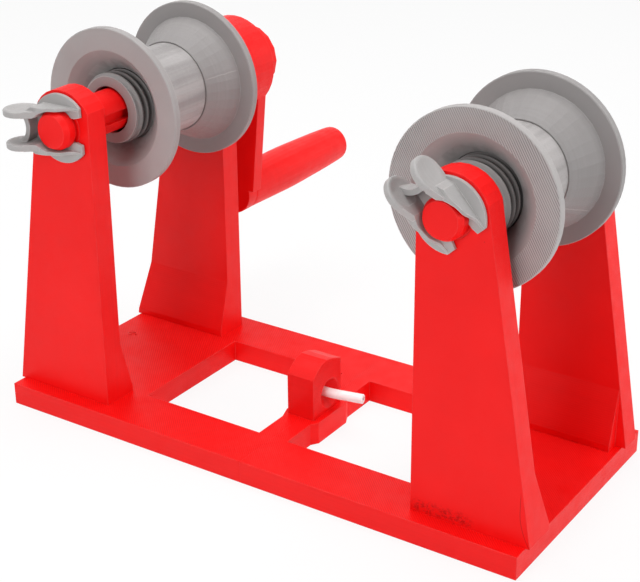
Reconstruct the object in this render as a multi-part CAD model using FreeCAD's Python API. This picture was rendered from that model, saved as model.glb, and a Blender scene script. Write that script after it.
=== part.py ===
import FreeCAD, Part
import math
import os

# Filament spool winder, in millimetres.
# +X runs from the crank station to the idle station, +Y from the clips to the crank, +Z up.
# The origin is the middle of the underside of the base.

os.makedirs("parts", exist_ok=True)
V = FreeCAD.Vector
ORIGIN = V(0, 0, 0)
X_AXIS = V(1, 0, 0)
Y_AXIS = V(0, 1, 0)
Z_AXIS = V(0, 0, 1)
CUT = 1.0

# clearances
SEAT = 0.1
RUN = 0.08
POCKET_RUN = 0.04
LOOSE = 0.3

# base frame, in two halves that meet at x = 0
BASE_LENGTH = 280.0
BASE_WIDTH = 125.2
BASE_THICK = 11.0
RIB_HALF = 8.0
RAIL_WIDE = 26.6
WINDOW_HALF = BASE_WIDTH / 2 - RAIL_WIDE
RAIL_MIDDLE = WINDOW_HALF + RAIL_WIDE / 2
SEAT_HALF = 10.4
SEAT_BACK = 10.5
SEAT_BACK_TAPER = 15.5
SEAT_FRONT_TAPER = -17.0
SEAT_FRONT_LEFT = -10.0
SEAT_FRONT_RIGHT = -13.4
SOCKET_FLOOR = 4.0
KEY_HALF_LENGTH = 15.0
KEY_WAIST = 4.0
KEY_END = 7.0
KEY_THICK = 6.0

# shaft axes
END_TO_SHAFT = 39.75
SHAFT_X = BASE_LENGTH / 2 - END_TO_SHAFT
SHAFT_Z = 149.6
SHAFT_R = 10.0
WINDOW_END = SHAFT_X - 24.45

# posts, between y = POST_IN and POST_OUT on both sides
POST_SETBACK = 7.9
POST_THICK = 11.5
POST_OUT = BASE_WIDTH / 2 - POST_SETBACK
POST_IN = POST_OUT - POST_THICK
POST_MIDDLE = (POST_IN + POST_OUT) / 2
POST_INNER_X = SHAFT_X - 15.25
POST_FOOT_X = SHAFT_X + 41.65
POST_TOP_R = 17.55
POST_SHOULDER = math.radians(22.0)
POST_TOP_FACETS = 10
FLARE_TOE = POST_IN - 7.1
FLARE_TOE_HEIGHT = 3.0
FLARE_TOP = 40.0
FLARE_END_X = SHAFT_X + 36.25
TENON_X = (SHAFT_X - 5.25, SHAFT_X + 24.75)
TENON_LONG = 16.0
TENON_WIDE = 7.0

# screws
SCREW_R = 1.5
SCREW_HEAD_R = 3.2
SCREW_SINK = 0.4
SCREW_LENGTH = 20.0
SCREW_TIP = 2.0
SCREW_POINT_R = 0.4
DRIVE_LONG = 3.2
DRIVE_WIDE = 0.8
DRIVE_DEEP = 1.2

# shafts
SHAFT_FRONT = -POST_OUT - 8.3
NOSE_R = 9.2
NOSE_FACE_R = 7.8
NOSE_LONG = 2.6
SLOT_FRONT = -POST_IN - 6.8
SLOT_WIDE = 5.0
SLOT_DEEP = 3.0
SLOT_ANGLES = (-2.0, 118.0, 238.0)
CLIP_SLOT_R = 8.0
CLIP_BACK = -(POST_OUT + LOOSE)
CLIP_PLATE = 1.6
CAP_R = 15.0
CAP_FRONT = POST_OUT + LOOSE
CAP_LONG = 8.5
IDLE_SHAFT_END = CAP_FRONT + 6.5
EDGE = 0.4

# crank
HUB_R = 24.25
HUB_FRONT = POST_OUT + 0.6
HUB_BACK = HUB_FRONT + 21.1
BOSS_R = 17.0
BOSS_END = HUB_BACK + 13.1
BOSS_SIDES = 16
CRANK_SHAFT_END = HUB_BACK + 7.6
ARM_THICK = 6.6
ARM_HALF_TOP = 20.1
ARM_HALF_LOW = 13.95
ARM_LOW_Z = SHAFT_Z - 67.5
ARM_END_R = 11.4
HANDLE_Z = SHAFT_Z - 70.4
GRIP_START = HUB_BACK + LOOSE
GRIP_SIDES = 28
GRIP_PROFILE = ((0.0, 10.7), (1.2, 11.3), (9.0, 11.42), (17.5, 11.55), (26.0, 11.7), (34.0, 11.8),
                (41.0, 11.8), (49.0, 11.62), (57.0, 11.36), (65.5, 11.1), (74.0, 10.8), (82.0, 10.42),
                (88.5, 10.05), (90.9, 9.8), (91.7, 9.0))
GRIP_END = GRIP_START + GRIP_PROFILE[-1][0]
AXLE_R = 4.0
AXLE_SOCKET = 5.2
AXLE_HEAD_R = 6.0
AXLE_HEAD_LONG = 2.6
AXLE_HEAD_SINK = 1.0

# cones, the same two pieces at both stations
FLANGE_R = 38.6
FLANGE_THICK = 3.93
CONE_R = 31.0
CONE_SLOPE = 0.5314
DRUM_R = 21.7
NUT_LONG = 44.4
RECESS_R = 28.0
RECESS_DEEP = 10.5
THREAD_CREST = 17.0
THREAD_ROOT = 15.5
THREAD_PITCH = 4.0
THREAD_FLAT = 0.7
THREAD_FLANK = 1.3
THREAD_FIRST = 3.9
CREST_TRIM = 0.15
NUT_BORE = THREAD_CREST + LOOSE
TUBE_LONG = 65.2
TUBE_END_R = 16.15
COLLAR_LONG = 3.1
TUBE_BORE = 11.2
LAND_LONG = 20.0
BACK_CONE_LONG = 16.0
POCKET_R = DRUM_R + POCKET_RUN
POCKET_DEEP = 2.6
PILOT_LONG = POCKET_DEEP + 0.8
RIB_WIDE = 4.6
RIB_TIP = 7.5
CONE_SIDES = 36
LEFT_DISC_REAR = POST_IN - 0.7
RIGHT_DISC_REAR = POST_IN - 18.93
LEFT_NUT_FRONT = LEFT_DISC_REAR - 64.16
RIGHT_NUT_FRONT = RIGHT_DISC_REAR - 61.97

# clips, drawn with the finger pads along +X; WALL_EDGE gives (x, height above the ring's back) and
# WALL_SIDE gives (x, distance of the wall's outer face from the middle)
CLIP_R = 16.2
CLIP_INNER_R = CLIP_SLOT_R + LOOSE
CLIP_TIP = -12.2
CLIP_MOUTH = 5.7
CLIP_MOUTH_TIP = 6.5
CLIP_MOUTH_RUN = 3.0
WALL_IN = NOSE_R + LOOSE
WALL_SIDE = ((-12.2, 10.4), (-6.0, 11.0), (8.8, 11.0), (11.6, 9.25))
WALL_EDGE = ((-12.2, 1.8), (-9.3, 2.2), (-8.0, 2.6), (-7.0, 3.1), (-5.0, 5.2), (-3.0, 7.0), (0.7, 8.3),
             (2.6, 9.4), (5.0, 10.0), (14.0, 10.5))
PAD_IN = 6.25
PAD_THICK = 3.0
PAD_EDGE = 0.7
PAD_S = 16.8
NECK_START = 10.3
NECK_BACK = 5.2
NECK_RISE = 6.1
PAD_Y = CLIP_BACK - 8.4
PAD_R = 8.1
DISH_S = 17.2
DISH_R = 6.3
DISH_DEEP = 1.0
WEB_CENTRE = 23.4
WEB_R = 9.0
WEB_THICK = 2.4
WEB_FRONT = CLIP_BACK - 7.5
CLIP_ANGLES = {"left": 181.5, "right": 132.0}

# filament guide
GUIDE_HALF_X = 7.35
GUIDE_ARCH = ((-13.3, 32.5), (-9.2, 35.8), (-5.7, 37.9), (-1.4, 38.5), (3.8, 37.5), (10.5, 35.0))
GUIDE_MIDDLE = (GUIDE_ARCH[0][0] + GUIDE_ARCH[-1][0]) / 2
GUIDE_TENON_X = 5.0
GUIDE_TENON_HALF = 8.0
HOLE_Y = 0.9
HOLE_Z = 20.0
HOLE_R = 7.5
THROAT_R = 2.4
THROAT_HALF = 2.0
TUBE_R = 2.35
TUBE_BORE_R = 1.1
TUBE_START_X = -1.6
TUBE_TURN_X = 5.0
TUBE_TURN = math.radians(11.5)
TUBE_TURN_R = 30.0
TUBE_TIP_X = 24.4
TUBE_TIP_ROUND = 0.6


def box(x0, x1, y0, y1, z0, z1):
    return Part.makeBox(x1 - x0, y1 - y0, z1 - z0, V(x0, y0, z0))


def prism(points, direction):
    wire = Part.makePolygon(list(points) + [points[0]])
    return Part.Face(wire).extrude(direction)


def bar(radius, y0, y1):
    return Part.makeCylinder(radius, y1 - y0, V(0, y0, 0), Y_AXIS)


def turned(profile):
    """Solid of revolution about Y from (radius, y) pairs."""
    points = [V(radius, y, 0) for radius, y in profile]
    wire = Part.makePolygon(points + [points[0]])
    return Part.Face(wire).revolve(ORIGIN, Y_AXIS, 360)


def ring_of(radius, y, sides):
    step = 2 * math.pi / sides
    points = []
    for i in range(sides + 1):
        angle = (i % sides) * step
        points.append(V(radius * math.cos(angle), y, radius * math.sin(angle)))
    return Part.makePolygon(points)


def faceted(profile, sides):
    """Straight-sided body about Y through (radius, y) pairs, with lengthwise facets."""
    rings = [ring_of(radius, y, sides) for radius, y in profile]
    return Part.makeLoft(rings, True, True)


def joined(shapes):
    body = shapes[0].multiFuse(shapes[1:]) if len(shapes) > 1 else shapes[0]
    return body.removeSplitter()


def placed(shape, x, y, z):
    moved = shape.copy()
    moved.translate(V(x, y, z))
    return moved


def turned_about(shape, axis, degrees):
    moved = shape.copy()
    moved.rotate(ORIGIN, axis, degrees)
    return moved


def half_turn(shape):
    return turned_about(shape, Z_AXIS, 180)


def key_ribs(width, tip, outer, y0, y1):
    """Three radial ribs that fill the shaft slots from the tip radius out to the outer radius."""
    rib = box(tip, outer, y0, y1, -width / 2, width / 2)
    return [turned_about(rib, Y_AXIS, -angle) for angle in SLOT_ANGLES]


# base

def tenon_box(x, grow, z0, z1):
    half_x = TENON_LONG / 2 + grow
    half_y = TENON_WIDE / 2 + grow
    return box(x - half_x, x + half_x, POST_MIDDLE - half_y, POST_MIDDLE + half_y, z0, z1)


def key_outline(grow, z):
    length = KEY_HALF_LENGTH + grow
    waist = KEY_WAIST + grow
    end = KEY_END + grow
    corners = ((-length, -end), (0, -waist), (length, -end), (length, end), (0, waist), (-length, end))
    return [V(x, y, z) for x, y in corners]


def base_key(grow, side):
    height = KEY_THICK + grow
    return placed(prism(key_outline(grow, 0), V(0, 0, height)), 0, side * RAIL_MIDDLE, 0)


def guide_tenon(grow):
    half_x = GUIDE_TENON_X + grow
    half_y = GUIDE_TENON_HALF + grow
    return box(-half_x, half_x, GUIDE_MIDDLE - half_y, GUIDE_MIDDLE + half_y,
               SOCKET_FLOOR + SEAT - grow, BASE_THICK + CUT)


def screw_hole():
    shaft = Part.makeCylinder(SCREW_R + SEAT, SOCKET_FLOOR + CUT)
    mouth = Part.makeCylinder(SCREW_HEAD_R, SCREW_SINK)
    slope = SCREW_HEAD_R - SCREW_R
    sink = Part.makeCone(SCREW_HEAD_R, SCREW_R, slope, V(0, 0, SCREW_SINK))
    return joined([shaft, mouth, sink])


def base_half(side):
    """One half of the frame; side is -1 at the crank end and 1 at the idle end."""
    half_length = BASE_LENGTH / 2
    half_width = BASE_WIDTH / 2
    plate = box(0, half_length, -half_width, half_width, 0, BASE_THICK)
    window = box(RIB_HALF, WINDOW_END, -WINDOW_HALF, WINDOW_HALF, -CUT, BASE_THICK + CUT)
    seat_front = SEAT_FRONT_RIGHT if side > 0 else SEAT_FRONT_LEFT
    seat = prism([V(RIB_HALF - CUT, SEAT_FRONT_TAPER - CUT, 0), V(RIB_HALF, SEAT_FRONT_TAPER, 0),
                  V(SEAT_HALF, seat_front, 0), V(SEAT_HALF, SEAT_BACK, 0),
                  V(RIB_HALF, SEAT_BACK_TAPER, 0), V(RIB_HALF - CUT, SEAT_BACK_TAPER + CUT, 0)],
                 V(0, 0, BASE_THICK))
    half = joined([plate.cut(window), seat])
    cuts = [base_key(SEAT, -1), base_key(SEAT, 1), guide_tenon(SEAT)]
    for x in TENON_X:
        socket = tenon_box(x, SEAT, SOCKET_FLOOR, BASE_THICK + CUT)
        hole = placed(screw_hole(), x, POST_MIDDLE, 0)
        cuts += [socket, hole, socket.mirror(ORIGIN, Y_AXIS), hole.mirror(ORIGIN, Y_AXIS)]
    for cutter in cuts:
        half = half.cut(cutter)
    return half if side > 0 else half.mirror(ORIGIN, X_AXIS)


# posts

def post_side():
    """Outline in XZ: upright inner edge, faceted top about the shaft and leaning outer edge."""
    points = [V(POST_INNER_X, 0, BASE_THICK)]
    first = math.acos((POST_INNER_X - SHAFT_X) / POST_TOP_R)
    for i in range(POST_TOP_FACETS + 1):
        angle = first + (POST_SHOULDER - first) * i / POST_TOP_FACETS
        points.append(V(SHAFT_X + POST_TOP_R * math.cos(angle), 0,
                        SHAFT_Z + POST_TOP_R * math.sin(angle)))
    points.append(V(POST_FOOT_X, 0, BASE_THICK))
    return points


def post(flush_flare):
    """Post of the idle station's crank side; the flare ends flush or at its own upright face."""
    outline = post_side()
    slab = placed(prism(outline, V(0, POST_OUT - POST_IN, 0)), 0, POST_IN, 0)
    toe_z = BASE_THICK + FLARE_TOE_HEIGHT
    outer_x = BASE_LENGTH if flush_flare else FLARE_END_X
    flare = prism([V(POST_INNER_X, POST_IN + CUT, BASE_THICK), V(POST_INNER_X, FLARE_TOE, BASE_THICK),
                   V(POST_INNER_X, FLARE_TOE, toe_z), V(POST_INNER_X, POST_IN, FLARE_TOP),
                   V(POST_INNER_X, POST_IN + CUT, FLARE_TOP)], V(outer_x - POST_INNER_X, 0, 0))
    if flush_flare:
        flare = flare.common(prism(outline, V(0, POST_OUT, 0)))
    pieces = [slab, flare] + [tenon_box(x, 0, SOCKET_FLOOR + SEAT, BASE_THICK + CUT) for x in TENON_X]
    body = joined(pieces)
    bore = placed(bar(SHAFT_R + RUN, POST_IN - CUT, POST_OUT + CUT), SHAFT_X, 0, SHAFT_Z)
    body = body.cut(bore)
    for x in TENON_X:
        body = body.cut(placed(Part.makeCylinder(SCREW_R, SCREW_LENGTH + CUT), x, POST_MIDDLE, SCREW_SINK))
    return body


def screw():
    slope = SCREW_HEAD_R - SCREW_R
    head = Part.makeCone(SCREW_HEAD_R, SCREW_R, slope, V(0, 0, SCREW_SINK))
    shank = Part.makeCylinder(SCREW_R, SCREW_LENGTH - SCREW_TIP - slope, V(0, 0, SCREW_SINK + slope))
    tip = Part.makeCone(SCREW_R, SCREW_POINT_R, SCREW_TIP, V(0, 0, SCREW_SINK + SCREW_LENGTH - SCREW_TIP))
    body = joined([head, shank, tip])
    for half_x, half_y in ((DRIVE_LONG / 2, DRIVE_WIDE / 2), (DRIVE_WIDE / 2, DRIVE_LONG / 2)):
        body = body.cut(box(-half_x, half_x, -half_y, half_y, 0, SCREW_SINK + DRIVE_DEEP))
    return body


# shafts and crank

def shaft(back_end):
    """Shaft with a ring slot for the clip and three key slots that are open at the back end."""
    slot_front = CLIP_BACK - CLIP_PLATE - SEAT
    slot_back = CLIP_BACK + SEAT
    core = turned([(0, SHAFT_FRONT), (NOSE_FACE_R, SHAFT_FRONT), (NOSE_R, SHAFT_FRONT + NOSE_LONG),
                   (NOSE_R, slot_back - CUT), (SHAFT_R, slot_back - CUT), (SHAFT_R, back_end), (0, back_end)])
    for rib in key_ribs(SLOT_WIDE, SHAFT_R - SLOT_DEEP, SHAFT_R + CUT, SLOT_FRONT, back_end + CUT):
        core = core.cut(rib)
    ring = bar(SHAFT_R + CUT, slot_front, slot_back).cut(bar(CLIP_SLOT_R, slot_front, slot_back))
    return core.cut(ring)


def with_socket(body, y0, shaft_end):
    """The body with a blind bore for a shaft's end, whose ribs fill the key slots."""
    floor = shaft_end + SEAT
    bored = body.cut(bar(SHAFT_R, y0 - CUT, floor))
    ribs = key_ribs(SLOT_WIDE - 2 * SEAT, SHAFT_R - SLOT_DEEP + SEAT, SHAFT_R + CUT, y0, floor + CUT)
    return joined([bored] + ribs)


def idle_cap():
    """Cap on the back end of the idle shaft."""
    back = CAP_FRONT + CAP_LONG
    cap = faceted([(CAP_R - EDGE, CAP_FRONT), (CAP_R, CAP_FRONT + EDGE), (CAP_R, back - EDGE),
                   (CAP_R - EDGE, back)], BOSS_SIDES)
    return with_socket(cap, CAP_FRONT, IDLE_SHAFT_END)


def crank_arm():
    """Hub with a closed boss, tapered arm and round lower end, about the shaft axis."""
    hub = faceted([(HUB_R - EDGE, HUB_FRONT), (HUB_R, HUB_FRONT + EDGE), (HUB_R, HUB_BACK)], CONE_SIDES)
    boss = faceted([(BOSS_R, HUB_BACK - CUT), (BOSS_R, BOSS_END - EDGE), (BOSS_R - EDGE, BOSS_END)],
                   BOSS_SIDES)
    low = ARM_LOW_Z - SHAFT_Z
    front = HUB_BACK - ARM_THICK
    plate = prism([V(-ARM_HALF_TOP, front, 0), V(ARM_HALF_TOP, front, 0), V(ARM_HALF_LOW, front, low),
                   V(-ARM_HALF_LOW, front, low)], V(0, ARM_THICK, 0))
    handle_z = HANDLE_Z - SHAFT_Z
    lower_end = placed(faceted([(ARM_END_R, front), (ARM_END_R, HUB_BACK)], CONE_SIDES), 0, 0, handle_z)
    body = with_socket(joined([hub, boss, plate, lower_end]), HUB_FRONT, CRANK_SHAFT_END)
    socket = placed(bar(AXLE_R, HUB_BACK - AXLE_SOCKET, HUB_BACK + CUT), 0, 0, handle_z)
    return body.cut(socket)


def handle_grip():
    """Barrel grip about its own axis."""
    body = faceted([(radius, GRIP_START + y) for y, radius in GRIP_PROFILE], GRIP_SIDES)
    head_room = AXLE_HEAD_SINK + AXLE_HEAD_LONG + LOOSE
    body = body.cut(bar(AXLE_R + RUN, GRIP_START - CUT, GRIP_END + CUT))
    return body.cut(bar(AXLE_HEAD_R + LOOSE, GRIP_END - head_room, GRIP_END + CUT))


def handle_axle():
    head_back = GRIP_END - AXLE_HEAD_SINK
    head_front = head_back - AXLE_HEAD_LONG
    return turned([(0, HUB_BACK - AXLE_SOCKET), (AXLE_R, HUB_BACK - AXLE_SOCKET), (AXLE_R, head_front),
                   (AXLE_HEAD_R, head_front), (AXLE_HEAD_R, head_back - EDGE),
                   (AXLE_HEAD_R - EDGE, head_back), (0, head_back)])


# cones

def flange(front):
    return faceted([(FLANGE_R - EDGE, front), (FLANGE_R, front + EDGE),
                    (FLANGE_R, front + FLANGE_THICK - EDGE), (FLANGE_R - EDGE, front + FLANGE_THICK)],
                   CONE_SIDES * 2)


def thread_ridge(length):
    """Right-hand ridge about Y from y = 0 to the length, on the root cylinder."""
    under = THREAD_ROOT - LOOSE
    foot = THREAD_FLAT / 2 + THREAD_FLANK * (THREAD_CREST - under) / (THREAD_CREST - THREAD_ROOT)
    path = Part.makeHelix(THREAD_PITCH, length, THREAD_ROOT)
    section = Part.makePolygon([V(under, 0, -foot), V(THREAD_CREST, 0, -THREAD_FLAT / 2),
                                V(THREAD_CREST, 0, THREAD_FLAT / 2), V(under, 0, foot),
                                V(under, 0, -foot)])
    sweep = Part.BRepOffsetAPI.MakePipeShell(path)
    sweep.setFrenetMode(True)
    sweep.add(section)
    sweep.build()
    sweep.makeSolid()
    return turned_about(sweep.shape(), X_AXIS, -90)


def back_cone():
    """Flange, cone and threaded tube; y = 0 is the rear of the flange."""
    small_y = -FLANGE_THICK - BACK_CONE_LONG
    small_r = CONE_R - CONE_SLOPE * BACK_CONE_LONG
    cone = faceted([(small_r, small_y), (CONE_R, -FLANGE_THICK), (CONE_R, -EDGE)], CONE_SIDES)
    pocket_floor = small_y + POCKET_DEEP
    pocket = bar(POCKET_R, small_y - CUT, pocket_floor)
    head = joined([cone, flange(-FLANGE_THICK)]).cut(pocket)
    inner_end = pocket_floor + CUT
    collar_end = COLLAR_LONG - TUBE_LONG
    crest = THREAD_CREST + CREST_TRIM
    core = bar(THREAD_ROOT, -TUBE_LONG, inner_end)
    collar = turned([(0, -TUBE_LONG), (TUBE_END_R, -TUBE_LONG), (THREAD_CREST, collar_end),
                     (0, collar_end)])
    ridge_start = THREAD_FIRST - TUBE_LONG - 2 * THREAD_PITCH
    ridge = placed(thread_ridge(pocket_floor - LOOSE - THREAD_PITCH - ridge_start), 0, ridge_start, 0)
    envelope = turned([(0, -TUBE_LONG), (TUBE_END_R, -TUBE_LONG), (crest, collar_end), (crest, inner_end),
                       (0, inner_end)])
    tube = core.fuse(ridge).fuse(collar).common(envelope)
    body = head.fuse(tube)
    land = -LAND_LONG
    bore = turned([(0, -TUBE_LONG - CUT), (TUBE_BORE, -TUBE_LONG - CUT), (TUBE_BORE, land - CUT),
                   (SHAFT_R + RUN, land), (SHAFT_R + RUN, CUT), (0, CUT)])
    body = body.cut(bore)
    for rib in key_ribs(RIB_WIDE, RIB_TIP, SHAFT_R + CUT, land, -EDGE):
        body = body.fuse(rib)
    return body


def nut_cone():
    """Clamping cone that runs on the threaded tube; y = 0 is the front of the flange."""
    cone_end = FLANGE_THICK + (CONE_R - DRUM_R) / CONE_SLOPE
    outside = faceted([(CONE_R, EDGE), (CONE_R, FLANGE_THICK), (DRUM_R, cone_end),
                       (DRUM_R, NUT_LONG - CUT)], CONE_SIDES)
    pilot = bar(DRUM_R, NUT_LONG - PILOT_LONG, NUT_LONG)
    body = joined([outside, flange(0), pilot])
    mouth_slope = (RECESS_R - NUT_BORE) / RECESS_DEEP
    inside = turned([(0, -CUT), (RECESS_R + mouth_slope * CUT, -CUT), (NUT_BORE, RECESS_DEEP),
                     (NUT_BORE, NUT_LONG + CUT), (0, NUT_LONG + CUT)])
    return body.cut(inside)


# clips

def clip_mouth(far):
    """Opening of the ring and wall towards -X, wider at its tip."""
    wide = 2 * CLIP_R
    run = CLIP_TIP + CLIP_MOUTH_RUN
    edge = ((0, CLIP_MOUTH), (run, CLIP_MOUTH), (CLIP_TIP, CLIP_MOUTH_TIP), (-wide, CLIP_MOUTH_TIP))
    corners = [V(s, far, -z) for s, z in edge] + [V(s, far, z) for s, z in reversed(edge)]
    mouth = prism(corners, V(0, CLIP_BACK + CUT - far, 0))
    return mouth.fuse(box(-wide, CLIP_TIP, far, CLIP_BACK + CUT, -wide, wide))


def clip_wall(far):
    """Wall in front of the ring, from the mouth round to the pads."""
    wide = 2 * CLIP_R
    outline = [V(s, far, -t) for s, t in WALL_SIDE] + [V(s, far, t) for s, t in reversed(WALL_SIDE)]
    block = prism(outline, V(0, CLIP_BACK - far, 0))
    side = [V(s, CLIP_BACK - height, -wide) for s, height in WALL_EDGE]
    side += [V(WALL_EDGE[-1][0], CLIP_BACK, -wide), V(WALL_EDGE[0][0], CLIP_BACK, -wide)]
    block = block.common(prism(side, V(0, 0, 2 * wide)))
    block = block.cut(box(0, wide, far, 0, -PAD_IN, PAD_IN))
    return block.cut(bar(WALL_IN, far, CLIP_BACK + CUT)).cut(box(-wide, 0, far, 0, -WALL_IN, WALL_IN))


def clip_paddle(sign, front):
    """Finger pad with rounded rims and a shallow dish in each face, and the arm that carries it."""
    low = min(sign * PAD_IN, sign * (PAD_IN + PAD_THICK))
    disc = Part.makeCylinder(PAD_R, PAD_THICK, V(PAD_S, PAD_Y, low), Z_AXIS)
    disc = disc.makeFillet(PAD_EDGE, [edge for edge in disc.Edges if edge.isClosed()])
    start = WALL_SIDE[-2][0] - PAD_THICK
    arm = prism([V(start, front + CUT, low), V(start, CLIP_BACK - NECK_START, low),
                 V(PAD_S - NECK_BACK, PAD_Y - NECK_RISE, low), V(PAD_S, PAD_Y, low),
                 V(PAD_S, front + CUT, low)], V(0, 0, PAD_THICK))
    paddle = disc.fuse(arm)
    ball = (DISH_R ** 2 + DISH_DEEP ** 2) / (2 * DISH_DEEP)
    for face, out in ((low, -1), (low + PAD_THICK, 1)):
        paddle = paddle.cut(Part.makeSphere(ball, V(DISH_S, PAD_Y, face + out * (ball - DISH_DEEP))))
    return paddle


def clip():
    """Snap clip about the shaft axis, pads along +X and mouth along -X."""
    front = CLIP_BACK - CLIP_PLATE
    far = PAD_Y - 2 * PAD_R
    plate = bar(CLIP_R, front, CLIP_BACK).cut(bar(CLIP_INNER_R, front - CUT, CLIP_BACK + CUT))
    web_long = front + CUT - WEB_FRONT
    web = Part.makeCylinder(WEB_R + WEB_THICK / 2, web_long, V(WEB_CENTRE, WEB_FRONT, 0), Y_AXIS)
    web = web.cut(Part.makeCylinder(WEB_R - WEB_THICK / 2, web_long, V(WEB_CENTRE, WEB_FRONT, 0), Y_AXIS))
    web = web.common(box(0, WEB_CENTRE - CUT, WEB_FRONT, front + CUT, -PAD_IN - CUT, PAD_IN + CUT))
    paddles = [clip_paddle(sign, front).cut(bar(WALL_IN, far, front + CUT)) for sign in (-1, 1)]
    return joined([plate, clip_wall(far), web] + paddles).cut(clip_mouth(far))


# filament guide

def guide_block():
    outline = [V(-GUIDE_HALF_X, GUIDE_ARCH[0][0], BASE_THICK)]
    outline += [V(-GUIDE_HALF_X, y, z) for y, z in GUIDE_ARCH]
    outline.append(V(-GUIDE_HALF_X, GUIDE_ARCH[-1][0], BASE_THICK))
    block = prism(outline, V(2 * GUIDE_HALF_X, 0, 0))
    tenon = guide_tenon(0)
    body = joined([block, tenon])
    throat = Part.makeCylinder(THROAT_R, 2 * GUIDE_HALF_X, V(-GUIDE_HALF_X, HOLE_Y, HOLE_Z), X_AXIS)
    body = body.cut(throat)
    for sign in (-1, 1):
        funnel = Part.makeCone(HOLE_R, THROAT_R, GUIDE_HALF_X - THROAT_HALF,
                               V(sign * GUIDE_HALF_X, HOLE_Y, HOLE_Z), V(-sign, 0, 0))
        bevel = Part.makeCone(HOLE_R + EDGE, HOLE_R, EDGE / 2,
                              V(sign * GUIDE_HALF_X, HOLE_Y, HOLE_Z), V(-sign, 0, 0))
        body = body.cut(funnel).cut(bevel)
    return body


def tube_path():
    """Straight through the throat, then a slight bend toward the crank side."""
    start = V(TUBE_START_X, HOLE_Y, HOLE_Z)
    bend = V(TUBE_TURN_X, HOLE_Y, HOLE_Z)
    centre = bend + V(0, TUBE_TURN_R, 0)
    half = TUBE_TURN / 2
    middle = centre + V(math.sin(half), -math.cos(half), 0) * TUBE_TURN_R
    leave = centre + V(math.sin(TUBE_TURN), -math.cos(TUBE_TURN), 0) * TUBE_TURN_R
    reach = (TUBE_TIP_X - leave.x) / math.cos(TUBE_TURN)
    tip = leave + V(math.cos(TUBE_TURN), math.sin(TUBE_TURN), 0) * reach
    edges = [Part.LineSegment(start, bend).toShape(), Part.Arc(bend, middle, leave).toShape(),
             Part.LineSegment(leave, tip).toShape()]
    return Part.Wire(edges), start


def guide_tube():
    path, start = tube_path()
    outer = Part.Wire(Part.makeCircle(TUBE_R, start, X_AXIS))
    inner = Part.Wire(Part.makeCircle(TUBE_BORE_R, start, X_AXIS))
    solid = path.makePipeShell([outer], True, True)
    hole = path.makePipeShell([inner], True, True)
    tip_edges = [edge for edge in solid.Edges
                 if edge.BoundBox.XMin > TUBE_TIP_X - TUBE_R and edge.BoundBox.XLength < TUBE_R]
    solid = solid.makeFillet(TUBE_TIP_ROUND, tip_edges)
    return solid.cut(hole)


# pieces in place

def at_station(shape, side, y):
    return placed(shape, side * SHAFT_X, y, SHAFT_Z)


post_plain = post(False)
post_flush = post(True).mirror(ORIGIN, Y_AXIS)
back = back_cone()
nut = nut_cone()
snap = clip()

nodes = {
    "base_left": base_half(-1),
    "base_right": base_half(1),
    "base_key_front": base_key(0, -1),
    "base_key_back": base_key(0, 1),
    "upright_back_right": post_plain,
    "upright_front_left": half_turn(post_plain),
    "upright_front_right": post_flush,
    "upright_back_left": half_turn(post_flush),
    "guide_block": guide_block(),
    "guide_tube": guide_tube(),
    "crank_shaft": at_station(shaft(CRANK_SHAFT_END), -1, 0),
    "idle_shaft": at_station(shaft(IDLE_SHAFT_END), 1, 0),
    "idle_cap": at_station(idle_cap(), 1, 0),
    "crank_arm": at_station(crank_arm(), -1, 0),
    "handle_grip": placed(handle_grip(), -SHAFT_X, 0, HANDLE_Z),
    "handle_axle": placed(handle_axle(), -SHAFT_X, 0, HANDLE_Z),
    "left_back_cone": at_station(back, -1, LEFT_DISC_REAR),
    "left_nut_cone": at_station(nut, -1, LEFT_NUT_FRONT),
    "right_back_cone": at_station(back, 1, RIGHT_DISC_REAR),
    "right_nut_cone": at_station(nut, 1, RIGHT_NUT_FRONT),
    "left_clip": at_station(turned_about(snap, Y_AXIS, -CLIP_ANGLES["left"]), -1, 0),
    "right_clip": at_station(turned_about(snap, Y_AXIS, -CLIP_ANGLES["right"]), 1, 0),
}
for side, end in ((-1, "left"), (1, "right")):
    for face, row in ((-1, "front"), (1, "back")):
        for x, place in zip(TENON_X, ("inner", "outer")):
            nodes["screw_%s_%s_%s" % (row, end, place)] = placed(screw(), side * x, face * POST_MIDDLE, 0)

for name, shape in sorted(nodes.items()):
    shape.exportStep("parts/%s.step" % name)
    size = shape.BoundBox
    print("%-26s solids %d valid %s volume %.0f  x %.1f..%.1f  y %.1f..%.1f  z %.1f..%.1f" % (
        name, len(shape.Solids), shape.isValid(), shape.Volume,
        size.XMin, size.XMax, size.YMin, size.YMax, size.ZMin, size.ZMax))
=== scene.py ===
import bpy
import math
from mathutils import Matrix, Vector


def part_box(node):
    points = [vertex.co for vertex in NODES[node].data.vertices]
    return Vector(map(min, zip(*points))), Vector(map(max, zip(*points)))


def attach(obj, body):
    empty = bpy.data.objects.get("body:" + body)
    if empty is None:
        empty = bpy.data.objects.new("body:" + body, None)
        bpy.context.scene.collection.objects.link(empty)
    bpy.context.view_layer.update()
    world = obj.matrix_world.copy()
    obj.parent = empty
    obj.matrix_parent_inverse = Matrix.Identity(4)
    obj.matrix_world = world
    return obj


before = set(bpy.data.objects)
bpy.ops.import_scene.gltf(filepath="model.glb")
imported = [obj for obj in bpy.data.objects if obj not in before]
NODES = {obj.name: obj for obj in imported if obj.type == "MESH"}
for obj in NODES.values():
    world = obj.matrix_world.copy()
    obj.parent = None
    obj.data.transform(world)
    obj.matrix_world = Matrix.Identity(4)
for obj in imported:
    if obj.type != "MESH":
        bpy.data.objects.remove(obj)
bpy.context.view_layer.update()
MM = 0.001
X_WAY = Vector((1, 0, 0))
Y_WAY = Vector((0, 1, 0))
Z_WAY = Vector((0, 0, 1))

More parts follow.
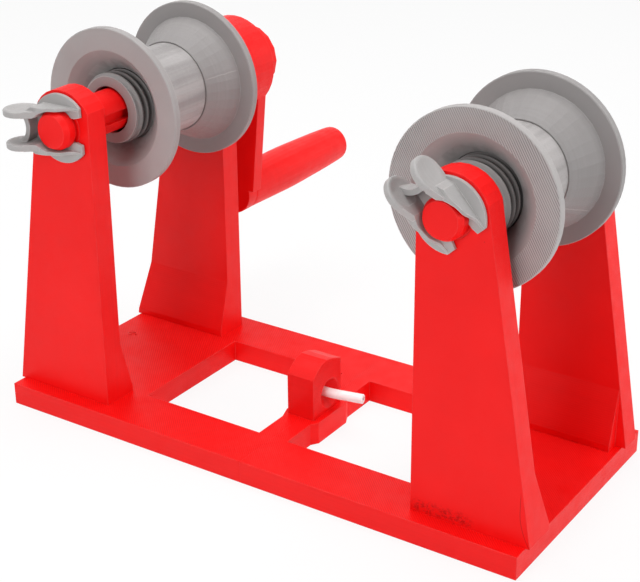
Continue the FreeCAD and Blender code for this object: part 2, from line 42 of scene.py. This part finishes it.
# camera at the photograph's viewing angle: metres, radians and the lens in millimetres
CAMERA_AT = Vector((0.360590, -0.533482, 0.361283))
YAW = 0.5909420
PITCH = 0.4220968
ROLL = -0.0069709
LENS = 84.8225

# soft lamps round the part: name, degrees round from the front towards +X, degrees up, watts
LAMPS = (
    ("front", 0, 20, 9.6),
    ("right", 90, 20, 9.3),
    ("back_right", 135, 20, 3.8),
    ("back", 180, 50, 1.6),
    ("left", 270, 50, 5.1),
    ("front_left", 315, 50, 1.9),
)
LAMP_AIM = Vector((0.0, 0.0, 0.08))
LAMP_DISTANCE = 1.6
LAMP_SIZE = 0.9
OVERHEAD_AT = (0.0, 0.05, 1.4)
OVERHEAD_WIDE = 1.2
OVERHEAD_DEEP = 1.0
OVERHEAD_POWER = 14.4

# backdrop and floor: the light they give the part, and how bright the camera sees them
WORLD_LIGHT = 0.08
WORLD_SEEN = 1.0
FLOOR_TONE = 0.90
FLOOR_SEEN = 0.86
FLOOR_HALF = 6.0
FLOOR_DROP = 0.2 * MM

# plastic colours: light and dark of the print, its pale edges, which are wear and a painted highlight, the
# painted highlight and painted shade on the grey cones, the painted shade at the thread root, and its marks
RED_LIGHT = (0.93, 0.0045, 0.0045)
RED_DARK = (0.86, 0.0020, 0.0020)
# pale edge colours, here and below: wear, and a painted highlight on the rounded edges
RED_EDGE = (0.98, 0.100, 0.094)
GREY_LIGHT = (0.345, 0.327, 0.324)
GREY_DARK = (0.300, 0.283, 0.280)
GREY_EDGE = (0.66, 0.64, 0.635)
# painted highlight and painted shade for the bands on the grey drums; the highlight also colours the cone's
# seam
GREY_PAINTED_HIGHLIGHT = (0.50, 0.48, 0.475)
GREY_SHADE = (0.22, 0.208, 0.206)
CLIP_LIGHT = (0.430, 0.415, 0.411)
CLIP_DARK = (0.380, 0.367, 0.363)
CLIP_EDGE = (0.68, 0.66, 0.655)
# painted shade in the thread grooves
PAINTED_THREAD_SHADE = (0.030, 0.026, 0.025)
SCUFF_DARK = (0.42, 0.001, 0.001)
HAIR_DARK = (0.30, 0.001, 0.001)

# printed surface, in millimetres: line spacings, then the sizes of its uneven patches
LAYER = 0.28
RASTER = 0.95
EDGE_RADIUS = 0.55
BAND_SIZE = 1.6
DRIFT_SIZE = 24.0
EDGE_PATCH_SIZE = 9.0
WANDER_SIZE = 14.0
GLOSS_SIZE = 7.0
GRAIN_SIZE = 0.7
SPECK_SPACING = 13.0
SPECK_R = 0.38

# scale of the noise along a streak, which draws it out
LONG_STREAK = 0.03

# distance from the halves' joint up to which edges get no pale edge of wear and painted highlight, and from
# which they get all of it
JOINT_EDGE_NONE = 0.8
JOINT_EDGE_FULL = 1.4

# cosines between a face and its rounded edge, at the full pale edge, which is wear and a painted highlight,
# and at none
CRISP_EDGES = (0.80, 0.995)
BLUNT_EDGES = (0.955, 0.998)

# cosines between a face and a direction, from which the face starts to count as square to it, and does
SQUARE_ON = (0.985, 0.998)

# gloss of the plastic
PLASTIC_IOR = 1.46
PLASTIC_SPECULAR = 0.25

# marks on the front right post's foot, in millimetres of the part's frame
SCUFF_ACROSS = (86.0, 114.0)
SCUFF_HEIGHT = (11.5, 17.0)
HAIR_X = 136.6
HAIR_BENDS_BELOW = 27.5
HAIR_BEND = 0.0185
HAIR_TOP = (33.0, 37.0)
HAIR_HALF = 0.13

# marks on the cones, in millimetres: from the axis, and the thread's from the cone's front end; the drum
# bands are painted highlight and shade, the seam has a painted highlight, and the thread root painted shade
DRUM_EDGE = (21.9, 22.3)
THREAD_ROOT = (15.8, 17.3)
THREAD_START = (3.2, 3.8)
SEAM_REACH = (23.0, 30.4)
SEAM_HALF = 0.22
LEFT_SEAM = (-78.7, 156.1)
RIGHT_SEAM = (124.0, 133.0)

# stray strand on the base, in millimetres, with its turn in radians
STRAND_AT = Vector((-126.6, 13.2, 11.0))
STRAND_R = 0.26
STRAND_STEPS = 14
STRAND_TURN = 5.2
STRAND_REACH = 1.8
STRAND_GROWTH = 0.8
STRAND_LOW = 0.25
STRAND_RISE = 1.1


def make_camera():
    level_part = math.cos(PITCH)
    look = Vector((-math.sin(YAW) * level_part, math.cos(YAW) * level_part, -math.sin(PITCH)))
    level = look.cross(Z_WAY).normalized()
    rise = level.cross(look)
    right = math.cos(ROLL) * level + math.sin(ROLL) * rise
    up = math.cos(ROLL) * rise - math.sin(ROLL) * level
    turn = Matrix((right, up, -look)).transposed().to_4x4()
    data = bpy.data.cameras.new("camera")
    data.lens = LENS
    data.sensor_width = 36.0
    data.clip_start = 0.01
    data.clip_end = 20.0
    camera = bpy.data.objects.new("camera", data)
    camera.matrix_world = Matrix.Translation(CAMERA_AT) @ turn
    bpy.context.scene.collection.objects.link(camera)
    bpy.context.scene.camera = camera


def area_light(name, at, width, height, power, aim):
    data = bpy.data.lights.new(name, "AREA")
    data.shape = "RECTANGLE"
    data.size = width
    data.size_y = height
    data.energy = power
    lamp = bpy.data.objects.new(name, data)
    lamp.location = at
    lamp.rotation_euler = (Vector(aim) - Vector(at)).to_track_quat("-Z", "Y").to_euler()
    bpy.context.scene.collection.objects.link(lamp)


def make_lights():
    area_light("overhead", OVERHEAD_AT, OVERHEAD_WIDE, OVERHEAD_DEEP, OVERHEAD_POWER, (0.0, 0.0, 0.0))
    for name, azimuth, elevation, power in LAMPS:
        turn = math.radians(azimuth)
        climb = math.radians(elevation)
        reach = math.cos(climb)
        out = Vector((math.sin(turn) * reach, -math.cos(turn) * reach, math.sin(climb)))
        area_light(name, LAMP_AIM + LAMP_DISTANCE * out, LAMP_SIZE, LAMP_SIZE, power, LAMP_AIM)


def seen_share(tree, share):
    """Socket that is share for rays from the camera, a reflection or glass, and 0 for light on the object."""
    path = tree.nodes.new("ShaderNodeLightPath")
    total = path.outputs["Is Camera Ray"]
    for kind in ("Is Glossy Ray", "Is Transmission Ray"):
        node = tree.nodes.new("ShaderNodeMath")
        node.operation = "MAXIMUM"
        tree.links.new(total, node.inputs[0])
        tree.links.new(path.outputs[kind], node.inputs[1])
        total = node.outputs[0]
    product = tree.nodes.new("ShaderNodeMath")
    product.operation = "MULTIPLY"
    product.inputs[1].default_value = share
    tree.links.new(total, product.inputs[0])
    return product.outputs[0]


def make_world():
    world = bpy.data.worlds.new("studio")
    bpy.context.scene.world = world
    world.use_nodes = True
    tree = world.node_tree
    tree.nodes.clear()
    out = tree.nodes.new("ShaderNodeOutputWorld")
    light = tree.nodes.new("ShaderNodeBackground")
    light.inputs["Strength"].default_value = WORLD_LIGHT
    shown = tree.nodes.new("ShaderNodeBackground")
    shown.inputs["Strength"].default_value = 1.0
    for node in (light, shown):
        node.inputs["Color"].default_value = (1.0, 1.0, 1.0, 1.0)
    mix = tree.nodes.new("ShaderNodeMixShader")
    tree.links.new(seen_share(tree, WORLD_SEEN), mix.inputs["Fac"])
    tree.links.new(light.outputs[0], mix.inputs[1])
    tree.links.new(shown.outputs[0], mix.inputs[2])
    tree.links.new(mix.outputs[0], out.inputs["Surface"])


def make_floor():
    corners = [(x * FLOOR_HALF, y * FLOOR_HALF, 0) for x, y in ((-1, -1), (1, -1), (1, 1), (-1, 1))]
    mesh = bpy.data.meshes.new("floor")
    mesh.from_pydata(corners, [], [(0, 1, 2, 3)])
    floor = bpy.data.objects.new("floor", mesh)
    floor.location = (0, 0, -FLOOR_DROP)
    bpy.context.scene.collection.objects.link(floor)
    material = bpy.data.materials.new("pale_floor")
    material.use_nodes = True
    tree = material.node_tree
    shader = tree.nodes["Principled BSDF"]
    shader.inputs["Base Color"].default_value = (FLOOR_TONE, FLOOR_TONE, FLOOR_TONE, 1.0)
    shader.inputs["Roughness"].default_value = 0.9
    shader.inputs["Specular IOR Level"].default_value = 0.0
    shown = tree.nodes.new("ShaderNodeEmission")
    shown.inputs["Strength"].default_value = 1.0
    mix = tree.nodes.new("ShaderNodeMixShader")
    tree.links.new(seen_share(tree, FLOOR_SEEN), mix.inputs["Fac"])
    tree.links.new(shader.outputs[0], mix.inputs[1])
    tree.links.new(shown.outputs[0], mix.inputs[2])
    tree.links.new(mix.outputs[0], tree.nodes["Material Output"].inputs["Surface"])
    mesh.materials.append(material)


class Shade:
    """One node material, with helpers that work in millimetres of the object's frame."""

    def __init__(self, name):
        self.material = bpy.data.materials.new(name)
        self.material.use_nodes = True
        self.tree = self.material.node_tree
        self.bsdf = self.tree.nodes["Principled BSDF"]
        coords = self.node("ShaderNodeTexCoord")
        self.place = coords.outputs["Object"]
        self.normal = coords.outputs["Normal"]

    def node(self, kind):
        return self.tree.nodes.new(kind)

    def link(self, source, target):
        self.tree.links.new(source, target)

    def feed(self, value, socket):
        if isinstance(value, (int, float)):
            socket.default_value = value
        else:
            self.link(value, socket)

    def math(self, operation, *values):
        node = self.node("ShaderNodeMath")
        node.operation = operation
        for value, socket in zip(values, node.inputs):
            self.feed(value, socket)
        return node.outputs[0]

    def times(self, *values):
        total = values[0]
        for value in values[1:]:
            total = self.math("MULTIPLY", total, value)
        return total

    def dot(self, vector, way):
        node = self.node("ShaderNodeVectorMath")
        node.operation = "DOT_PRODUCT"
        node.inputs[1].default_value = tuple(way)
        self.link(vector, node.inputs[0])
        return node.outputs["Value"]

    def along(self, way):
        """Distance along a direction, in millimetres."""
        return self.dot(self.place, Vector(way).normalized() / MM)

    def facing(self, way):
        """1 on faces square to the direction, 0 on the others."""
        return self.ramp(self.math("ABSOLUTE", self.dot(self.normal, way)), *SQUARE_ON)

    def ramp(self, value, low, high, start=0.0, end=1.0):
        node = self.node("ShaderNodeMapRange")
        self.feed(value, node.inputs["Value"])
        node.inputs["From Min"].default_value = low
        node.inputs["From Max"].default_value = high
        node.inputs["To Min"].default_value = start
        node.inputs["To Max"].default_value = end
        return node.outputs[0]

    def inside(self, value, low, high, soft):
        """1 between two values, with soft ends."""
        rise = self.ramp(value, low - soft, low + soft)
        fall = self.ramp(value, high - soft, high + soft, 1.0, 0.0)
        return self.times(rise, fall)

    def ripple(self, distance, period):
        return self.math("SINE", self.math("MULTIPLY", distance, 2 * math.pi / period))

    def noise(self, size, detail=3.0, rough=0.5, stretch=(1.0, 1.0, 1.0)):
        """Noise with features of about size millimetres."""
        mapping = self.node("ShaderNodeMapping")
        mapping.inputs["Scale"].default_value = stretch
        self.link(self.place, mapping.inputs["Vector"])
        node = self.node("ShaderNodeTexNoise")
        node.inputs["Scale"].default_value = 1.0 / (size * MM)
        node.inputs["Detail"].default_value = detail
        node.inputs["Roughness"].default_value = rough
        self.link(mapping.outputs[0], node.inputs["Vector"])
        return node.outputs["Fac"]

    def specks(self, spacing, radius):
        """Small round marks, one in a few cells."""
        node = self.node("ShaderNodeTexVoronoi")
        node.inputs["Scale"].default_value = 1.0 / (spacing * MM)
        self.link(self.place, node.inputs["Vector"])
        near = self.ramp(node.outputs["Distance"], 0.0, radius / spacing, 1.0, 0.0)
        parts = self.node("ShaderNodeSeparateColor")
        self.link(node.outputs["Color"], parts.inputs[0])
        return self.times(near, self.ramp(parts.outputs[0], 0.70, 0.72))

    def mix(self, factor, a, b):
        node = self.node("ShaderNodeMix")
        node.data_type = "RGBA"
        self.feed(factor, node.inputs["Factor"])
        for value, key in ((a, "A"), (b, "B")):
            if isinstance(value, tuple):
                node.inputs[key].default_value = (*value, 1.0)
            else:
                self.link(value, node.inputs[key])
        return node.outputs["Result"]

    def bump(self, height, strength, distance, normal):
        node = self.node("ShaderNodeBump")
        node.inputs["Strength"].default_value = strength
        node.inputs["Distance"].default_value = distance * MM
        self.link(height, node.inputs["Height"])
        self.link(normal, node.inputs["Normal"])
        return node.outputs["Normal"]

    def rounded(self, radius, edges=CRISP_EDGES):
        """Normal with rounded edges, and a mask of those edges."""
        node = self.node("ShaderNodeBevel")
        node.samples = 6
        node.inputs["Radius"].default_value = radius * MM
        geometry = self.node("ShaderNodeNewGeometry")
        both = self.node("ShaderNodeVectorMath")
        both.operation = "DOT_PRODUCT"
        self.link(node.outputs[0], both.inputs[0])
        self.link(geometry.outputs["Normal"], both.inputs[1])
        return node.outputs[0], self.ramp(both.outputs["Value"], *edges, 1.0, 0.0)


def scaled(colour, share):
    return tuple(share * part for part in colour)


def box_mm(node):
    """A node's lowest corner and its middle, in millimetres."""
    low, high = (Vector(corner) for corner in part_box(node))
    return low / MM, (low + high) / 2 / MM


def printed(name, light, dark, edge, layer_way, roughness=0.45, layer_tone=0.22, layer_dark=0.85,
            raster=None, raster_depth=0.5, raster_dark=0.8, butt_joint=False,
            edges=CRISP_EDGES, extra=None):
    """Printed plastic: layer lines along one direction and raster lines on the faces square to it.

    With butt_joint the edges at x = 0 get no pale edge of wear and painted highlight. extra(shade, colour,
    normal) adds a node's own marks.
    """
    shade = Shade(name)
    flat = shade.facing(layer_way)
    sloped = shade.math("SUBTRACT", 1.0, flat)
    groove = shade.times(shade.ripple(shade.along(layer_way), LAYER), sloped)
    stretch = tuple(1.0 if abs(part) > 0.5 else LONG_STREAK for part in layer_way)
    banding = shade.noise(BAND_SIZE, 2.0, 0.6, stretch)
    drift = shade.noise(DRIFT_SIZE, 3.0, 0.55)
    tone = shade.math("ADD", shade.times(drift, 0.5), shade.times(banding, 0.5))
    normal, edge_wear_and_highlight = shade.rounded(EDGE_RADIUS, edges)
    if butt_joint:
        from_joint = shade.math("ABSOLUTE", shade.along(X_WAY))
        edge_wear_and_highlight = shade.times(edge_wear_and_highlight, shade.ramp(from_joint, JOINT_EDGE_NONE, JOINT_EDGE_FULL))
    patchy = shade.ramp(shade.noise(EDGE_PATCH_SIZE, 4.0, 0.6), 0.35, 0.65, 0.35, 1.0)
    colour = shade.mix(shade.ramp(tone, 0.30, 0.70), dark, light)
    lines = shade.times(shade.ramp(groove, -1.0, -0.2, 1.0, 0.0), sloped, layer_tone)
    colour = shade.mix(lines, colour, scaled(dark, layer_dark))
    if raster:
        lines = shade.times(shade.ripple(shade.along(raster), RASTER), flat)
        wander = shade.ramp(shade.noise(WANDER_SIZE, 2.0, 0.5), 0.40, 0.60, 0.75, 1.0)
        furrow = shade.times(shade.ramp(lines, -1.0, 0.2, 1.0, 0.0), flat, wander, raster_depth)
        colour = shade.mix(furrow, colour, scaled(dark, raster_dark))
        normal = shade.bump(shade.times(lines, wander), raster_depth, 0.05, normal)
    specks = shade.times(shade.specks(SPECK_SPACING, SPECK_R), 0.5)
    colour = shade.mix(specks, colour, scaled(dark, 0.35))
    if extra:
        colour, normal = extra(shade, colour, normal)
    # pale edges: wear, and a painted highlight on the rounded edges
    colour = shade.mix(shade.times(edge_wear_and_highlight, patchy, 0.75), colour, edge)
    shade.link(colour, shade.bsdf.inputs["Base Color"])
    gloss = shade.noise(GLOSS_SIZE, 3.0, 0.6)
    rough = shade.ramp(gloss, 0.3, 0.7, roughness - 0.06, roughness + 0.08)
    shade.link(rough, shade.bsdf.inputs["Roughness"])
    normal = shade.bump(groove, 0.40, 0.03, normal)
    normal = shade.bump(banding, 0.15, 0.06, normal)
    normal = shade.bump(shade.noise(GRAIN_SIZE, 3.0, 0.6), 0.25, 0.04, normal)
    shade.link(normal, shade.bsdf.inputs["Normal"])
    shade.bsdf.inputs["IOR"].default_value = PLASTIC_IOR
    shade.bsdf.inputs["Specular IOR Level"].default_value = PLASTIC_SPECULAR
    return shade.material


def scuffed_foot(shade, colour, normal):
    """Rough dark band low on the front of the foot, and a hairline beside it."""
    low, _ = box_mm("upright_front_right")
    across = shade.along(X_WAY)
    height = shade.along(Z_WAY)
    front = shade.ramp(shade.along(Y_WAY), low.y + 0.2, low.y + 0.6, 1.0, 0.0)
    grain = shade.ramp(shade.noise(1.5, 5.0, 0.7), 0.44, 0.60)
    band = shade.times(shade.inside(across, *SCUFF_ACROSS, 2.5), shade.inside(height, *SCUFF_HEIGHT, 1.6))
    mark = shade.times(band, front, grain)
    colour = shade.mix(shade.times(mark, 0.75), colour, SCUFF_DARK)
    drop = shade.math("MAXIMUM", shade.math("SUBTRACT", HAIR_BENDS_BELOW, height), 0.0)
    bend = shade.math("ADD", shade.times(drop, drop, HAIR_BEND), HAIR_X)
    hair = shade.inside(shade.math("SUBTRACT", across, bend), -HAIR_HALF, HAIR_HALF, 0.10)
    hair = shade.times(hair, front, shade.ramp(height, *HAIR_TOP, 1.0, 0.0))
    colour = shade.mix(shade.times(hair, 0.7), colour, HAIR_DARK)
    return colour, shade.bump(mark, 0.8, 0.15, normal)


def radius_from(shade, node):
    """Distance from the node's axis along Y, in millimetres."""
    _, middle = box_mm(node)
    parts = []
    for way in (X_WAY, Z_WAY):
        part = shade.math("SUBTRACT", shade.along(way), middle.dot(way))
        parts.append(shade.times(part, part))
    return shade.math("SQRT", shade.math("ADD", parts[0], parts[1]))


def drum_highlight_and_shade_bands(shade, node, colour):
    """Painted highlight and painted shade in bands along the axis on the node's drum, standing for light on
    its facets.
    """
    stretch = (1.0, LONG_STREAK, 1.0)
    wide = shade.ramp(shade.noise(7.0, 0.0, 0.5, stretch), 0.36, 0.64)
    thin = shade.ramp(shade.noise(2.0, 0.0, 0.5, stretch), 0.36, 0.64)
    tone = shade.math("ADD", shade.times(wide, 0.65), shade.times(thin, 0.35))
    drum = shade.ramp(radius_from(shade, node), *DRUM_EDGE, 1.0, 0.0)
    # painted highlight bands, then painted shade bands
    colour = shade.mix(shade.times(shade.ramp(tone, 0.5, 0.9), drum, 0.40), colour, GREY_PAINTED_HIGHLIGHT)
    return shade.mix(shade.times(shade.ramp(tone, 0.5, 0.1), drum, 0.30), colour, GREY_SHADE)


def back_cone_marks(node, point):
    """Marks of a back cone: a raised seam on its cone, through the x and z given, coloured with a painted
    highlight, and painted shade at the thread root.
    """
    low, middle = box_mm(node)
    out = Vector((point[0] - middle.x, 0.0, point[1] - middle.z)).normalized()
    side = Vector((-out.z, 0.0, out.x))

    def add(shade, colour, normal):
        across = shade.math("SUBTRACT", shade.along(side), middle.dot(side))
        outward = shade.math("SUBTRACT", shade.along(out), middle.dot(out))
        wobble = shade.times(shade.math("SUBTRACT", shade.noise(3.0), 0.5), 0.8)
        line = shade.inside(shade.math("ADD", across, wobble), -SEAM_HALF, SEAM_HALF, 0.2)
        line = shade.times(line, shade.inside(outward, *SEAM_REACH, 0.6))
        # the seam's lighter colour is a painted highlight
        colour = shade.mix(shade.times(line, 0.45), colour, GREY_PAINTED_HIGHLIGHT)
        # painted shade at the thread root, behind the cone's front end
        depth = shade.ramp(radius_from(shade, node), *THREAD_ROOT, 1.0, 0.0)
        behind = shade.ramp(shade.along(Y_WAY), *(low.y + part for part in THREAD_START))
        slope = shade.math("SUBTRACT", 1.0, shade.facing(Y_WAY))
        colour = shade.mix(shade.times(depth, behind, slope, 0.92), colour, PAINTED_THREAD_SHADE)
        return colour, shade.bump(line, 0.5, 0.12, normal)

    return add


def nut_marks(node):
    """Marks of a nut cone: the painted highlight and painted shade bands on its drum."""

    def add(shade, colour, normal):
        return drum_highlight_and_shade_bands(shade, node, colour), normal

    return add


def tube_material():
    shade = Shade("white_tube")
    tone = shade.noise(3.5, 2.0, 0.5)
    shade.link(shade.mix(tone, (0.86, 0.82, 0.82), (0.93, 0.91, 0.91)), shade.bsdf.inputs["Base Color"])
    shade.link(shade.ramp(tone, 0.3, 0.7, 0.26, 0.36), shade.bsdf.inputs["Roughness"])
    normal, _ = shade.rounded(0.4)
    shade.link(shade.bump(shade.noise(2.0), 0.15, 0.05, normal), shade.bsdf.inputs["Normal"])
    shade.bsdf.inputs["Subsurface Weight"].default_value = 0.35
    shade.bsdf.inputs["Subsurface Radius"].default_value = (1.0, 0.85, 0.85)
    shade.bsdf.inputs["Subsurface Scale"].default_value = 2.0 * MM
    return shade.material


def screw_material():
    shade = Shade("screw_steel")
    tone = shade.noise(1.1, 2.0, 0.5)
    shade.link(shade.mix(tone, (0.42, 0.42, 0.43), (0.60, 0.60, 0.61)), shade.bsdf.inputs["Base Color"])
    shade.link(shade.ramp(tone, 0.3, 0.7, 0.28, 0.42), shade.bsdf.inputs["Roughness"])
    normal, _ = shade.rounded(0.15)
    shade.link(shade.bump(shade.noise(0.4), 0.1, 0.02, normal), shade.bsdf.inputs["Normal"])
    shade.bsdf.inputs["Metallic"].default_value = 1.0
    return shade.material


def red(name, layer_way, **more):
    return printed(name, RED_LIGHT, RED_DARK, RED_EDGE, layer_way, **more)


# the grey is scaled per part: lighter and darker copies of one grey, which are painted light and shade
def grey(name, painted_lightness=1.0, **more):
    return printed(name, scaled(GREY_LIGHT, painted_lightness), scaled(GREY_DARK, painted_lightness), GREY_EDGE, Y_WAY, **more)


def give(material, *names):
    for name in names:
        mesh = NODES[name].data
        mesh.materials.clear()
        mesh.materials.append(material)


def give_materials():
    base = red("red_base", Z_WAY, raster=(1, 1, 0), raster_dark=0.72, butt_joint=True)
    give(base, "base_left", "base_right", "base_key_front", "base_key_back")
    give(red("red_guide", Z_WAY, layer_tone=0.75, layer_dark=0.50), "guide_block")
    give(red("red_post", Y_WAY), "upright_front_left", "upright_back_left", "upright_back_right")
    give(red("red_post_scuffed", Y_WAY, extra=scuffed_foot), "upright_front_right")
    give(red("red_turned", Y_WAY, roughness=0.42), "crank_shaft", "idle_shaft", "idle_cap", "handle_axle")
    give(red("red_crank", Y_WAY, roughness=0.42), "crank_arm", "handle_grip")
    left_marks = back_cone_marks("left_back_cone", LEFT_SEAM)
    right_marks = back_cone_marks("right_back_cone", RIGHT_SEAM)
    # each cone's grey is scaled on its own, tuned cone by cone to how bright it looks: painted light and
    # shade
    give(grey("grey_back_left", 0.97, extra=left_marks), "left_back_cone")
    give(grey("grey_back_right", 0.94, extra=right_marks), "right_back_cone")
    give(grey("grey_nut_left", 1.18, extra=nut_marks("left_nut_cone")), "left_nut_cone")
    right_nut = grey("grey_nut_right", 1.31, raster=(0.86, 0, 0.5), raster_depth=0.9, raster_dark=0.42,
                     extra=nut_marks("right_nut_cone"))
    give(right_nut, "right_nut_cone")
    clip = printed("grey_clip", CLIP_LIGHT, CLIP_DARK, CLIP_EDGE, Y_WAY, roughness=0.36, edges=BLUNT_EDGES)
    give(clip, "left_clip", "right_clip")
    give(tube_material(), "guide_tube")
    give(screw_material(), *(name for name in NODES if name.startswith("screw")))


def stray_strand():
    """Short curl of red filament left on the base beside the back left post."""
    curl = []
    for i in range(STRAND_STEPS + 1):
        part = i / STRAND_STEPS
        angle = STRAND_TURN * part
        reach = STRAND_REACH + STRAND_GROWTH * part
        height = STRAND_LOW + STRAND_RISE * part * part
        curl.append(Vector((reach * math.cos(angle), reach * math.sin(angle), height)))
    data = bpy.data.curves.new("stray_strand", "CURVE")
    data.dimensions = "3D"
    data.bevel_depth = STRAND_R * MM
    data.bevel_resolution = 3
    data.use_fill_caps = True
    spline = data.splines.new("NURBS")
    spline.points.add(STRAND_STEPS)
    for place, point in zip(curl, spline.points):
        point.co = (*((STRAND_AT + place) * MM), 1.0)
    spline.use_endpoint_u = True
    spline.order_u = 3
    strand = bpy.data.objects.new("stray_strand", data)
    bpy.context.scene.collection.objects.link(strand)
    data.materials.append(printed("red_strand", RED_EDGE, RED_LIGHT, RED_EDGE, Y_WAY))
    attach(strand, "frame")


make_camera()
make_lights()
make_world()
make_floor()
give_materials()
stray_strand()
bpy.context.scene.view_settings.view_transform = "Standard"
